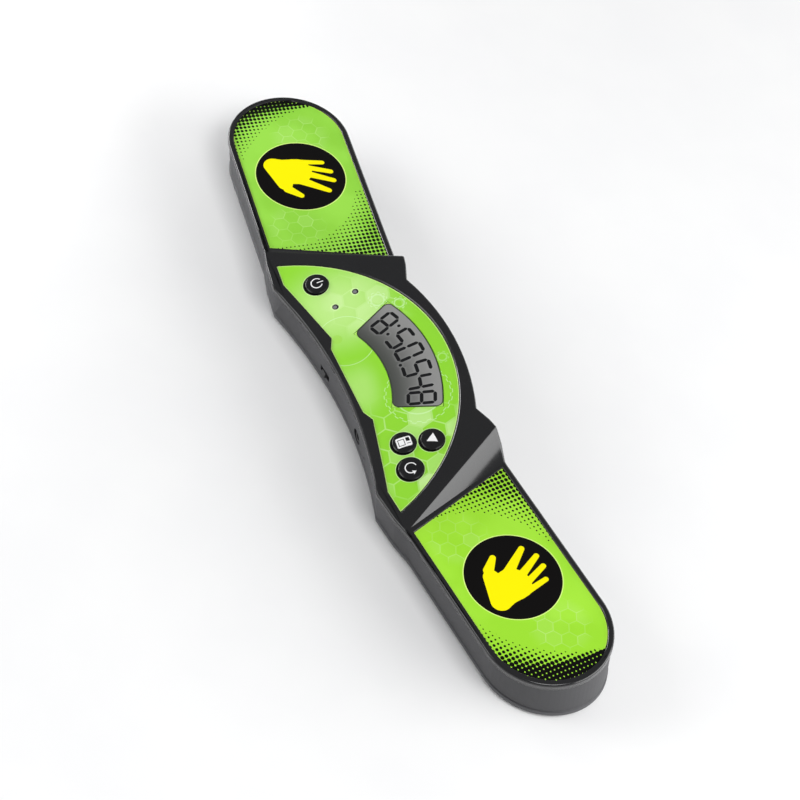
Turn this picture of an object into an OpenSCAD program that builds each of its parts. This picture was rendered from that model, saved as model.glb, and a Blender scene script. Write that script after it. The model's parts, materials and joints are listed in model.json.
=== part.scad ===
// Competition hand timer for speed puzzles: two hand pads on swept-back
// arms, a raised and tilted centre panel with a curved display window,
// four push buttons, and a two-cell battery bay under the left arm.
// X runs along the length, Y points away from the user, Z is up, and the
// origin is at the middle of the footprint, on the surface it stands on.

/* [Body] */
// Overall length of the casing, end to end
body_len = 288; // [284:0.5:292]
// Angle by which each arm swings away from the user
arm_sweep = 6.8; // [6.2:0.1:7.4]
// Width of each hand pad film
pad_w = 44; // [43:0.5:45]
// Width of the black rim round a hand pad film
pad_rim = 2.4; // [2:0.1:2.8]
// Slope of the hand pads towards the user
pad_tilt = 7.16; // [6.8:0.02:7.6]
// Slope of the centre panel towards the user
panel_tilt = 21.52; // [20.8:0.02:22]
// Height of the pad plane above the underside, on the line through the origin of the plan
pad_level = 19.7; // [19.4:0.1:20.2]
// Lean of the side walls towards the user, going up
wall_lean = 14.7; // [14.2:0.1:15.2]

/* [Casing] */
// Thickness of the side wall
wall = 1.8; // [1.6:0.1:2]
// Vertical thickness of the black top shell
deck_t = 3; // [2.8:0.1:3.2]
// Thickness of the floor
floor_t = 1.6; // [1.4:0.1:1.8]
// Height of the bottom cover's visible edge
cover_edge = 3.4; // [3:0.1:3.8]
// Depth by which the films lie below the rims
film_drop = 0.4; // [0.3:0.05:0.6]
// Thickness of the printed films
film_t = 0.45; // [0.35:0.05:0.5]
// Thickness of the sensor plates
plate_t = 0.5; // [0.3:0.1:0.6]

/* [Panel] */
// Radius of the panel film's far arc
panel_r = 64; // [63.5:0.1:64.4]
// Radius of the far rim in the middle
bulge_r = 96.5; // [94:0.5:99]
// Width of the film between the display window and the far arc
window_edge = 5.4; // [5:0.1:6]
// Height of the display window, along a radius
window_h = 17.6; // [17:0.1:18]
// Half of the window's angle
window_half = 26.1; // [25:0.1:27]

/* [Controls] */
// Radius of the power, mode and step button openings
key_r = 4.65; // [4.4:0.05:4.8]
// Radius of the reset button opening
reset_r = 4.92; // [4.7:0.02:5]
// Gap between a button cap and its opening
key_gap = 0.2; // [0.12:0.02:0.3]
// Travel of a button
key_travel = 0.6; // [0.4:0.05:0.6]
// Travel of the slide switch to either side
slide_travel = 1.5; // [1:0.1:1.8]
// Bore radius of the data socket
jack_r = 1.8; // [1.75:0.05:2]

/* [Base] */
// Height of the rubber feet below the casing
foot_h = 1; // [0.8:0.1:1.4]
// Radius of a rubber foot
foot_r = 4.5; // [4:0.1:5]

/* [Hidden] */
$fn = 64;
eps = 0.05;
// Centre of all arcs on the panel, in plan
arc_y = -28.1;
// Line on which pad plane and panel plane meet
cross_y = -6.5;
r_out = pad_w / 2 + pad_rim;
end_x = body_len / 2 - r_out;
// Middle line of the arms: its place at the middle of the casing
arm_y0 = 10.18;
end_y = arm_y0 + end_x * tan(arm_sweep);
near_y = -9.8;
// Radius and depth of the hollow in the middle of the near edge
near_r = 181;
near_dip = 6.6;
// Width of the rim beyond the panel film, in the middle of the far edge
far_rim = 3.6;
far_y = arc_y + panel_r + far_rim;
notch_x = panel_r - 32;
// Where an arm's near edge, its pad and its far edge start, on the arm's middle line
near_from = panel_r + 4.46;
pad_from = panel_r - 2.79;
far_from = panel_r - 9.64;
window_ro = panel_r - window_edge;
window_ri = window_ro - window_h;
pad_slope = tan(pad_tilt);
panel_slope = tan(panel_tilt);
far_end = (pad_v(end_y) + r_out - (foot_h + 0.6) * sin(wall_lean)) / cos(wall_lean);
y_shift = -(near_y + far_end) / 2;
floor_top = foot_h + floor_t;
part_z = foot_h + cover_edge;
film_gap = 0.12;
// Inset of the locating lips from the outline
lip_in = wall + 0.4;
lip_t = 1;
// Where the ramp between pad and panel starts at the near side
ramp_x = panel_r + 4.04;
ramp_low = [-16.4, 44.5];
ramp_ridge = [-23, 39];
// Levels along the normal of the panel, measured from the rim plane
glass_top = -2.9;
glass_t = 2.4;
board_top = -7.6;
board_t = 1.6;
// Stations on the panel: depth inside the far arc, angle from the middle
power_at = station(8.226, -53.787);
mode_at = station(15.348, 44.5);
step_at = station(6.394, 40.353);
reset_at = station(8.152, 54.033);
led_at = [station(7.401, -38.977), station(16.159, -42.628)];
post_at = [station(4.702, 61.275), station(3.118, 31.157)];
// Liquid crystal glass below the window
glass_side = 1.02;
glass_w = 2 * (window_ro * sin(window_half) + glass_side);
glass_h = window_h + 3;
glass_at = [0, arc_y + (window_ro + window_ri) / 2 - 1.7];
// Screw columns, as plan points on the right half
column_at = [[end_x + 13.8, end_y + 3.06], [panel_r, 5.5], [47.5, 32]];
column_r = 3.2;
screw_r = 1.25;
head_r = 2.4;
// Battery bay in the left arm, in that arm's own frame
bay_u = arm_u(85.84);
bay_w = 7;
bay_len = 50;
bay_wid = 22.6;
cell_r = 5.25;
cell_len = 43.7;
cell_pitch = 10.9;
cell_z = floor_top + 0.9 + cell_r;
// Speaker in the right arm, in that arm's own frame
horn_u = -14;
horn_w = 6;
horn_r = 14;
horn_t = 5.2;
// Near side controls
switch_x = -15;
jack_x = 16.5;
io_y = 4.7;
io_z = floor_top + 2.1;
io_t = 1.2;
jack_z = io_z + io_t + 2.7;
switch_z = io_z + io_t + 2.2;
pin_x = 25.8;
lead_r = 0.6;
// Rubber feet, as plan points on the right half
foot_at = [[end_x + 4.4, end_y + 22.56], [end_x + 4.4, end_y - 11.44], [53, 24]];

// Plan point on the panel, from its depth inside the far arc and its angle
function station(depth, angle) =
  [(panel_r - depth) * sin(angle), arc_y + (panel_r - depth) * cos(angle)];
// Place along an arm of a plan x on its middle line
function arm_u(x) = (x - end_x) / cos(arm_sweep);
function pad_z(y) = foot_h + pad_level + pad_slope * y;
function panel_z(y) = pad_z(cross_y) + panel_slope * (y - cross_y);
// Place of a point of the pad or panel plane, measured across the leaning walls
function pad_v(y) = y * cos(wall_lean) + pad_z(y) * sin(wall_lean);
function panel_v(y) = y * cos(wall_lean) + panel_z(y) * sin(wall_lean);

// ---- placing helpers ----

module place() {
  translate([0, y_shift, 0]) children();
}

module both() {
  children();
  mirror([1, 0, 0]) children();
}

// Right arm's frame: origin at the centre of its round end, X outwards
module arm() {
  translate([end_x, end_y, 0]) rotate([0, 0, arm_sweep]) children();
}

module left_arm() {
  mirror([1, 0, 0]) arm() children();
}

// Frame on the panel's rim plane, Z along its normal
module on_panel(at) {
  translate([at[0], at[1], panel_z(at[1])]) rotate([panel_tilt, 0, 0]) children();
}

// ---- casing outline square to the leaning walls; o is the inset ----

// Point of the right arm, from its round end's centre
function arm_point(u, w) = [end_x + u * cos(arm_sweep) - w * sin(arm_sweep),
  pad_v(end_y) + u * sin(arm_sweep) + w * cos(arm_sweep)];

// Points at even steps along an arc
function arc_points(c, r, from, to, n) =
  [for (i = [0:n]) c + r * [cos(from + (to - from) * i / n), sin(from + (to - from) * i / n)]];

// Right half of the outline, from the middle of the near edge round to the far edge
function half_outline(o) = let(
    r = r_out - o,
    near_c = [0, panel_v(near_y + near_dip) - near_r],
    near_a = asin(50 / near_r),
    far_c = [0, panel_v(far_y) - bulge_r],
    far_a = asin(notch_x / bulge_r)
  ) concat(
    arc_points(near_c, near_r + o, 90, 90 - near_a, 9),
    [[panel_r - 2, panel_v(-8.2) + o], arm_point(arm_u(near_from), -r)],
    arc_points([end_x, pad_v(end_y)], r, arm_sweep - 90, arm_sweep + 90, 40),
    [arm_point(arm_u(far_from), r), [panel_r - 17.8, pad_v(far_y + 1.3) + 0.3 - o],
      [panel_r - 21, panel_v(far_y - 1.9) - 1.04 * o],
      [panel_r - 25.5, panel_v(far_y - 2.9) - 1.06 * o]],
    arc_points(far_c, bulge_r - o, 90 - far_a, 90, 7));

module outline_2d(o) {
  side = half_outline(o);
  last = len(side) - 1;
  polygon(concat(side, [for (i = [last - 1:-1:1]) [-side[i][0], side[i][1]]]));
}

// Everything inside the side walls, inset by o
module body(o) {
  rotate([wall_lean, 0, 0]) translate([0, 0, -40]) linear_extrude(120) outline_2d(o);
}

module slab(z0, z1) {
  translate([-200, -80, z0]) cube([400, 200, z1 - z0]);
}

module body_slab(o, z0, z1) {
  intersection() {
    body(o);
    slab(z0, z1);
  }
}

// Ring between two insets of the outline, from level z0 to z1
module body_ring(o, i, z0, z1) {
  difference() {
    body_slab(o, z0, z1);
    body(i);
  }
}

// Outline of a hand pad film, grown by g, in the arm's frame
module pad_2d(g) {
  r = pad_w / 2 + g;
  in_u = arm_u(pad_from);
  circle(r, $fn = 128);
  polygon([[0, -r], [0, r], [in_u - 0.2545 * r - 1.03 * g, r],
    [in_u + 0.2545 * r - 1.03 * g, -r]]);
}

// Outline of the panel film, grown by g
module panel_2d(g) {
  intersection() {
    translate([0, arc_y]) circle(panel_r + g, $fn = 180);
    polygon([[-15.3 - g, -1 - g], [15.3 + g, -1 - g], [19.7 + g, 0.9 - g],
      [41.5, -3.7 - g], [50.4, -5.7 - g], [62, -4.7 - g], [70, 45],
      [-70, 45], [-62, -4.7 - g], [-50.4, -5.7 - g], [-41.5, -3.7 - g],
      [-19.7 - g, 0.9 - g]]);
  }
}

// Curved display window, grown by g
module window_2d(g) {
  a = window_half;
  far = window_ro + 20;
  translate([0, arc_y]) difference() {
    intersection() {
      circle(window_ro + g, $fn = 180);
      translate([0, -g / sin(a)])
        polygon([[0, 0], [far * sin(a), far * cos(a)], [-far * sin(a), far * cos(a)]]);
    }
    circle(window_ri - g, $fn = 180);
  }
}

module board_2d() {
  side = panel_r - 6;
  near = post_at[0][1] - 0.2;
  intersection() {
    translate([0, arc_y]) circle(panel_r + 0.4, $fn = 180);
    polygon([[-27, 8.2], [27, 8.2], [29, 0.2], [40, near], [side, near], [side, 40],
      [-side, 40], [-side, near], [-40, near], [-29, 0.2]]);
  }
}

// ---- volumes below the top faces; t shifts them up or down ----

module under_pads(t) {
  rotate([90, 0, 90]) translate([0, 0, -200]) linear_extrude(400)
    polygon([[-60, -5], [80, -5], [80, pad_z(80) + t], [-60, pad_z(-60) + t]]);
}

module under_panel(t) {
  y0 = cross_y;
  y1 = far_y + 10.5;
  zb = -5;
  a = [ramp_low[0], ramp_low[1], pad_slope * ramp_low[1]];
  b = [ramp_ridge[0], ramp_ridge[1], panel_slope * ramp_ridge[1]];
  n = cross(a, b);
  low0 = ramp_x - n[2] * (zb - pad_z(y0)) / n[0];
  low1 = low0 - n[1] * (y1 - y0) / n[0];
  top1 = ramp_x + (y1 - y0) * ramp_ridge[0] / ramp_ridge[1];
  translate([0, 0, t]) polyhedron(
    points = [[-low0, y0, zb], [low0, y0, zb], [low1, y1, zb], [-low1, y1, zb],
      [-ramp_x, y0, panel_z(y0)], [ramp_x, y0, panel_z(y0)],
      [top1, y1, panel_z(y1)], [-top1, y1, panel_z(y1)]],
    faces = [[0, 1, 2, 3], [4, 5, 1, 0], [7, 6, 5, 4], [5, 6, 2, 1],
      [6, 7, 3, 2], [7, 4, 0, 3]]);
}

module under_top(t) {
  under_pads(t);
  under_panel(t);
}

// Layer that follows the pad plane, between two vertical offsets
module pad_layer(lo, hi) {
  rotate([90, 0, 90]) translate([0, 0, -200]) linear_extrude(400)
    polygon([[-60, pad_z(-60) + lo], [80, pad_z(80) + lo], [80, pad_z(80) + hi],
      [-60, pad_z(-60) + hi]]);
}

// Layer that follows the panel plane, between two vertical offsets
module panel_layer(lo, hi) {
  rotate([90, 0, 90]) translate([0, 0, -200]) linear_extrude(400)
    polygon([[-60, panel_z(-60) + lo], [80, panel_z(80) + lo],
      [80, panel_z(80) + hi], [-60, panel_z(-60) + hi]]);
}

// ---- casing ----

// Column for a case screw, hanging from the deck
module column(at) {
  intersection() {
    translate([at[0], at[1], floor_top]) cylinder(r = column_r, h = 40);
    under_top(-deck_t + eps);
  }
}

module column_bore(at) {
  translate([at[0], at[1], floor_top - 1]) cylinder(r = screw_r + 0.05, h = 8.4);
}

// Black top shell with rims, film recesses, openings and columns
module bezel_shell() {
  color([0.09, 0.09, 0.10]) place() difference() {
    union() {
      difference() {
        intersection() {
          body_slab(0, 0, 60);
          under_top(0);
        }
        under_top(-deck_t);
      }
      intersection() {
        body_ring(lip_in, lip_in + lip_t, 8, 60);
        difference() {
          under_top(-deck_t + eps);
          under_top(-deck_t - 1.6);
        }
      }
      for (at = column_at) both() column(at);
      for (at = post_at) both() on_panel(at)
        translate([0, 0, board_top]) cylinder(r = 2.2, h = -board_top - 2.7);
    }
    for (at = column_at) both() column_bore(at);
    for (at = post_at) both() on_panel(at)
      translate([0, 0, board_top - 1]) cylinder(r = 0.85, h = 4.6, $fn = 32);
    both() arm() intersection() {
      linear_extrude(60) pad_2d(film_gap);
      translate([0, 0, 0]) rotate([0, 0, -arm_sweep]) translate([-end_x, -end_y, 0])
        pad_layer(-film_drop - film_t, 5);
    }
    both() arm() intersection() {
      linear_extrude(60) pad_2d(-1.5 + film_gap);
      rotate([0, 0, -arm_sweep]) translate([-end_x, -end_y, 0])
        pad_layer(-film_drop - film_t - plate_t, 0);
    }
    intersection() {
      linear_extrude(60) panel_2d(film_gap);
      panel_layer(-film_drop - film_t, 6);
    }
    intersection() {
      linear_extrude(60) window_2d(film_gap);
      panel_layer(-film_drop - 1.3, 0);
    }
    linear_extrude(60) window_2d(-1);
    on_panel(power_at) cylinder(r = key_r, h = 12, center = true);
    on_panel(mode_at) cylinder(r = key_r, h = 12, center = true);
    on_panel(step_at) cylinder(r = key_r, h = 12, center = true);
    on_panel(reset_at) cylinder(r = reset_r, h = 12, center = true);
    for (at = led_at) on_panel(at) cylinder(r = 1.25, h = 12, center = true, $fn = 32);
    both() arm() translate([arm_u(pad_from) + 1.8, 6, 0]) cylinder(r = 1.2, h = 60, $fn = 32);
  }
}

// Dark grey side wall between the top shell and the bottom cover
module side_housing() {
  color([0.30, 0.30, 0.32]) place() difference() {
    intersection() {
      body_slab(0.3, part_z, 60);
      under_top(-deck_t);
    }
    body(wall + 0.3);
    translate([jack_x, -12, jack_z]) rotate([-90, 0, 0]) cylinder(r = 3.2, h = 17);
    translate([switch_x - 3.4, -12, switch_z - 1.5]) cube([6.8, 17, 3]);
    translate([pin_x, -12, jack_z - 1]) rotate([-90, 0, 0]) cylinder(r = 0.6, h = 17, $fn = 24);
  }
}

module bay_frame() {
  left_arm() translate([bay_u, bay_w, 0]) children();
}

// Floor, edge, screw seats, battery bay walls and speaker seat
module bottom_cover() {
  color([0.36, 0.36, 0.38]) place() difference() {
    union() {
      body_slab(0.7, foot_h, foot_h + 0.7);
      body_slab(0, foot_h + 0.6, floor_top);
      body_ring(0, wall, floor_top - eps, part_z);
      body_ring(lip_in, lip_in + lip_t, floor_top - eps, floor_top + 3.4);
      body_ring(wall - eps, lip_in + eps, part_z - 1, part_z);
      bay_frame() translate([0, 0, floor_top - eps]) difference() {
        translate([-bay_len / 2 - 1.4, -bay_wid / 2 - 1.4, 0])
          cube([bay_len + 2.8, bay_wid + 2.8, 8.6]);
        translate([-bay_len / 2, -bay_wid / 2, -1]) cube([bay_len, bay_wid, 12]);
      }
      bay_frame() translate([31, 0, floor_top - eps]) cylinder(r = 2.6, h = 5);
      arm() translate([horn_u, horn_w, floor_top - eps]) difference() {
        cylinder(r = horn_r + 1.6, h = 3.4);
        translate([0, 0, -1]) cylinder(r = horn_r + 0.2, h = 6);
      }
      for (x = [-16, 3, 25]) translate([x, io_y + 3.3, floor_top - eps])
        cylinder(r = 1.8, h = io_z - floor_top + eps);
    }
    // Thin shadow groove at the top of the edge
    body_ring(-2, 0.5, part_z - 0.5, part_z + 0.5);
    for (at = column_at) both() translate([at[0], at[1], 0]) {
      cylinder(r = screw_r + 0.25, h = 10);
      cylinder(r = head_r + 0.2, h = foot_h + 0.9);
    }
    for (at = foot_at) both() translate([at[0], at[1], 0])
      cylinder(r = foot_r + 0.1, h = foot_h + 0.6);
    bay_frame() translate([-24, -10.5, 0]) cube([48, 21, 10]);
    bay_frame() translate([-26, -12.5, 0]) cube([52, 25, foot_h + 0.9]);
    bay_frame() translate([20, -5, 0]) cube([15.5, 10, foot_h + 0.9]);
    bay_frame() translate([31, 0, 0]) cylinder(r = 1.05, h = floor_top + 3.6, $fn = 32);
    arm() translate([horn_u, horn_w, 0]) {
      cylinder(r = 1, h = 10, $fn = 24);
      for (a = [0:60:300]) rotate([0, 0, a]) translate([3.6, 0, 0])
        cylinder(r = 1, h = 10, $fn = 24);
      for (a = [0:30:330]) rotate([0, 0, a + 15]) translate([7.4, 0, 0])
        cylinder(r = 1, h = 10, $fn = 24);
    }
    translate([jack_x, -14, jack_z]) rotate([-90, 0, 0]) cylinder(r = 3.2, h = 21);
  }
}

// ---- films and sensor plates ----

module pad_film() {
  arm() intersection() {
    linear_extrude(60) pad_2d(0);
    rotate([0, 0, -arm_sweep]) translate([-end_x, -end_y, 0])
      pad_layer(-film_drop - film_t, -film_drop);
  }
}

module sensor_plate() {
  arm() intersection() {
    linear_extrude(60) pad_2d(-1.5);
    rotate([0, 0, -arm_sweep]) translate([-end_x, -end_y, 0])
      pad_layer(-film_drop - film_t - plate_t, -film_drop - film_t);
  }
}

module left_pad_film() {
  color([0.58, 0.84, 0.27]) place() mirror([1, 0, 0]) pad_film();
}

module right_pad_film() {
  color([0.62, 0.88, 0.22]) place() pad_film();
}

module left_sensor_plate() {
  color([0.80, 0.62, 0.35]) place() mirror([1, 0, 0]) sensor_plate();
}

module right_sensor_plate() {
  color([0.80, 0.62, 0.35]) place() sensor_plate();
}

module panel_film() {
  color([0.66, 0.88, 0.36]) place() difference() {
    intersection() {
      linear_extrude(60) panel_2d(0);
      panel_layer(-film_drop - film_t, -film_drop);
    }
    linear_extrude(60) window_2d(0.2);
    on_panel(power_at) cylinder(r = key_r, h = 12, center = true);
    on_panel(mode_at) cylinder(r = key_r, h = 12, center = true);
    on_panel(step_at) cylinder(r = key_r, h = 12, center = true);
    on_panel(reset_at) cylinder(r = reset_r, h = 12, center = true);
    for (at = led_at) on_panel(at) cylinder(r = 1.25, h = 12, center = true, $fn = 32);
  }
}

// ---- display ----

module lcd_window() {
  color([0.45, 0.45, 0.47]) place() intersection() {
    linear_extrude(60) window_2d(0);
    panel_layer(-film_drop - 1.3, -film_drop);
  }
}

// Two glass plies; the upper one is shorter at the near, contact edge
module lcd_glass() {
  color([0.52, 0.53, 0.52]) place() on_panel(glass_at) translate([-glass_w / 2, 0, 0]) {
    translate([0, -glass_h / 2, glass_top - glass_t / 2])
      cube([glass_w, glass_h, glass_t / 2]);
    translate([0, -glass_h / 2 - 2.2, glass_top - glass_t])
      cube([glass_w, glass_h + 2.2, glass_t / 2]);
  }
}

// Frame that carries the glass on the board
module lcd_spacer() {
  w = glass_w - 5.6;
  h = glass_h - 1;
  color([0.85, 0.85, 0.83]) place() on_panel(glass_at) difference() {
    translate([-w / 2, 0.4 - h / 2, board_top]) cube([w, h, glass_top - glass_t - board_top]);
    translate([2 - w / 2, 2.4 - h / 2, board_top - 1]) cube([w - 4, h - 4, 10]);
  }
}

// Rubber contact strip between board and glass
module lcd_connector() {
  w = glass_w - 5.6;
  color([0.75, 0.30, 0.28]) place() on_panel(glass_at)
    translate([-w / 2, -glass_h / 2 - 1.9, board_top])
      cube([w, 2.2, glass_top - glass_t - board_top]);
}

// ---- buttons ----

// Cap with a shallow dome, a flange under the shell and a press post
module key_cap(at, r) {
  place() on_panel(at) {
    cr = r - key_gap;
    translate([0, 0, -2.9]) cylinder(r = cr, h = 2.9);
    intersection() {
      cylinder(r = cr, h = 2);
      translate([0, 0, 0.7 - 18]) sphere(r = 18, $fn = 128);
    }
    translate([0, 0, -3.6]) cylinder(r = r + 0.35, h = 0.75);
    translate([0, 0, -3.8]) cylinder(r = 1.4, h = 0.6, $fn = 32);
  }
}

module power_button() {
  color([0.05, 0.05, 0.06]) key_cap(power_at, key_r);
}

module mode_button() {
  color([0.05, 0.05, 0.06]) key_cap(mode_at, key_r);
}

module step_button() {
  color([0.05, 0.05, 0.06]) key_cap(step_at, key_r);
}

module reset_button() {
  color([0.05, 0.05, 0.06]) key_cap(reset_at, reset_r);
}

// Four small push switches below the caps
module tact_switches() {
  color([0.20, 0.20, 0.21]) place()
    for (at = [power_at, mode_at, step_at, reset_at]) on_panel(at) {
      translate([-2.6, -2.6, board_top]) cube([5.2, 5.2, 2.2]);
      translate([0, 0, board_top + 2.1])
        cylinder(r = 1.5, h = -board_top - 2.1 - 3.8 - key_travel - 0.1, $fn = 32);
    }
}

// ---- electronics ----

module main_board() {
  color([0.10, 0.38, 0.22]) place() difference() {
    intersection() {
      linear_extrude(60) board_2d();
      translate([0, 0, panel_z(0)]) rotate([panel_tilt, 0, 0])
        translate([-80, -20, board_top - board_t]) cube([160, 80, board_t]);
    }
    for (at = post_at) both() on_panel(at)
      translate([0, 0, -12]) cylinder(r = 0.95, h = 12, $fn = 32);
  }
}

// Controller and its crystal under the board
module control_chip() {
  color([0.08, 0.08, 0.09]) place() on_panel(glass_at) {
    translate([-6, -4, board_top - board_t - 1.5]) cube([12, 12, 1.5]);
    translate([10, -2, board_top - board_t - 2.2]) cube([9, 3.4, 2.2]);
    translate([-17, -2, board_top - board_t - 1.2]) cube([6, 5, 1.2]);
  }
}

module status_leds() {
  color([0.85, 0.85, 0.80]) place() for (at = led_at) on_panel(at)
    translate([-1.5, -1.0, board_top]) cube([3, 2, 1]);
}

// Clear pins that carry the light up through the film
module light_pipes() {
  color([0.75, 0.78, 0.76]) place() for (at = led_at) on_panel(at) {
    translate([0, 0, board_top + 1.2]) cylinder(r = 1.1, h = -board_top - 1.2 - 0.45, $fn = 32);
    translate([0, 0, -3.6]) cylinder(r = 1.8, h = 0.7, $fn = 32);
  }
}

// Small pan-head screws from below, through the board, into the posts
module board_screws() {
  color([0.70, 0.71, 0.73]) place() for (at = post_at) both() on_panel(at) {
    translate([0, 0, board_top - board_t - 1.1]) cylinder(r = 1.7, h = 1.1, $fn = 32);
    translate([0, 0, board_top - board_t - 0.1]) cylinder(r = 0.8, h = 4.6, $fn = 32);
  }
}

// Strip board on three studs behind the near wall
module io_board() {
  color([0.10, 0.38, 0.22]) place()
    translate([-20, io_y, io_z]) cube([47, 6.6, io_t]);
}

// Socket for a data lead: body, collar in the wall, and bore
module data_jack() {
  color([0.07, 0.07, 0.08]) place() difference() {
    union() {
      translate([jack_x - 3, io_y - 0.5, io_z + io_t]) cube([6, 11, 5.2]);
      translate([jack_x, io_y - 4.1, jack_z]) rotate([-90, 0, 0]) cylinder(r = 2.65, h = 4);
    }
    translate([jack_x, io_y - 5, jack_z]) rotate([-90, 0, 0]) cylinder(r = jack_r, h = 14.4);
  }
}

// Fixed body of the sound slide switch
module slide_switch() {
  color([0.62, 0.63, 0.65]) place() difference() {
    translate([switch_x - 4.3, io_y, io_z + io_t]) cube([8.6, 3.6, 4.4]);
    translate([switch_x - 3.1, io_y - 1, switch_z - 1]) cube([6.2, 2.2, 2]);
  }
}

// Knob that runs sideways in the wall's slot
module switch_knob() {
  color([0.06, 0.06, 0.07]) place() {
    translate([switch_x - 1.3, -0.8, switch_z - 1.2]) cube([2.6, io_y + 0.5, 2.4]);
    translate([switch_x - 1.1, io_y - 0.4, switch_z - 0.85]) cube([2.2, 1.4, 1.7]);
  }
}

// ---- power ----

// Two round cells side by side, nose ends opposite
module battery_cells() {
  color([0.20, 0.42, 0.62]) place() bay_frame() for (s = [-1, 1])
    translate([0.4 * s, s * cell_pitch / 2, cell_z]) rotate([0, 90, 0])
      rotate([0, 0, 0]) {
        translate([0, 0, -cell_len / 2]) cylinder(r = cell_r, h = cell_len);
        translate([0, 0, s > 0 ? cell_len / 2 - 0.1 : -cell_len / 2 - 0.9])
          cylinder(r = 1.9, h = 1, $fn = 32);
      }
}

// Spring rings on a plate, along +X
module contact_spring() {
  translate([0, -4, -4]) cube([0.4, 8, 8]);
  for (i = [0:3]) translate([0.7 + 0.72 * i, 0, 0]) rotate([0, 90, 0])
    rotate_extrude($fn = 48) translate([2.9 - 0.25 * i, 0]) circle(0.38, $fn = 16);
  translate([0.35, 2.0, -0.4]) cube([2.5, 0.6, 0.8]);
}

module contact_plate() {
  translate([0, -4, -4]) cube([0.4, 8, 8]);
  translate([0.3, 0, 0]) rotate([0, 90, 0]) cylinder(r = 1.6, h = 0.7, $fn = 32);
}

// End contacts of both cells: springs and flat plates
module battery_contacts() {
  color([0.78, 0.78, 0.76]) place() bay_frame() for (s = [-1, 1])
    translate([0, s * cell_pitch / 2, cell_z]) {
      translate([-s * (bay_len / 2 - 0.05), 0, 0]) rotate([0, 0, s > 0 ? 0 : 180])
        contact_spring();
      translate([s * (bay_len / 2 - 0.05), 0, 0]) rotate([0, 0, s > 0 ? 180 : 0])
        contact_plate();
    }
}

// Door with a plug that fills the floor opening and a screw tab
module battery_door() {
  color([0.33, 0.33, 0.35]) place() bay_frame() difference() {
    union() {
      translate([-25.8, -12.3, foot_h]) cube([51.6, 24.6, 0.88]);
      translate([20, -4.8, foot_h]) cube([15.3, 9.6, 0.88]);
      translate([-23.7, -10.2, foot_h + 0.8]) cube([47.4, 20.4, floor_t - 0.8]);
    }
    translate([31, 0, 0]) cylinder(r = 1.25, h = 10, $fn = 32);
    for (i = [-3:3]) translate([-21.5 + 1.6 * i, -6, foot_h - 1]) cube([0.7, 12, 1.35]);
  }
}

module door_screw() {
  color([0.70, 0.71, 0.73]) place() bay_frame() translate([31, 0, 0]) {
    translate([0, 0, foot_h - 0.65]) cylinder(r = 1.9, h = 0.65, $fn = 32);
    translate([0, 0, foot_h - 0.1]) cylinder(r = 1, h = 4.4, $fn = 32);
  }
}

// ---- sound ----

// Flat round speaker: basket, magnet and cone on the grille side
module speaker() {
  color([0.16, 0.16, 0.17]) place() arm() translate([horn_u, horn_w, floor_top + 0.4]) {
    difference() {
      cylinder(r = horn_r, h = 2.4, $fn = 96);
      translate([0, 0, -1]) cylinder(r1 = horn_r - 0.8, r2 = 5, h = 2.6, $fn = 96);
    }
    translate([0, 0, 2.3]) cylinder(r = 7, h = horn_t - 2.3);
  }
}

module speaker_gasket() {
  color([0.12, 0.12, 0.12]) place() arm() translate([horn_u, horn_w, floor_top])
    difference() {
      cylinder(r = horn_r, h = 0.4);
      translate([0, 0, -1]) cylinder(r = horn_r - 2.2, h = 3);
    }
}

// ---- fasteners, feet and leads ----

module case_screws() {
  color([0.70, 0.71, 0.73]) place() for (at = column_at) both()
    translate([at[0], at[1], foot_h - 0.6]) difference() {
      union() {
        cylinder(r = head_r, h = 1.5);
        cylinder(r = screw_r, h = 8);
      }
      translate([-1.5, -0.3, -1]) cube([3, 0.6, 1.6]);
      translate([-0.3, -1.5, -1]) cube([0.6, 3, 1.6]);
    }
}

module rubber_feet() {
  color([0.08, 0.08, 0.08]) place() for (at = foot_at) both()
    translate([at[0], at[1], 0]) {
      cylinder(r = foot_r, h = foot_h + 0.6);
    }
}

// Insulated lead along straight stretches
module lead(points) {
  for (i = [0:len(points) - 2]) hull() {
    translate(points[i]) sphere(r = lead_r, $fn = 12);
    translate(points[i + 1]) sphere(r = lead_r, $fn = 12);
  }
}

module lead_wires() {
  color([0.75, 0.10, 0.10]) place() {
    lead([[-58.4, 20.4, 8.2], [-56.5, 11, 8.4], [-48.6, 6, 13.8]]);
    lead([[end_x - 29, end_y + 2.06, 7], [72, 14, 8], [48.6, 6, 13.8]]);
  }
}

bezel_shell();
side_housing();
bottom_cover();
left_pad_film();
right_pad_film();
left_sensor_plate();
right_sensor_plate();
panel_film();
lcd_window();
lcd_glass();
lcd_spacer();
lcd_connector();
power_button();
mode_button();
step_button();
reset_button();
tact_switches();
main_board();
control_chip();
status_leds();
light_pipes();
board_screws();
io_board();
data_jack();
slide_switch();
switch_knob();
battery_cells();
battery_contacts();
battery_door();
door_screw();
speaker();
speaker_gasket();
case_screws();
rubber_feet();
lead_wires();
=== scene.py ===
import json
import math

import bmesh
import bpy
from mathutils import Matrix, Vector
from mathutils.bvhtree import BVHTree

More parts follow.
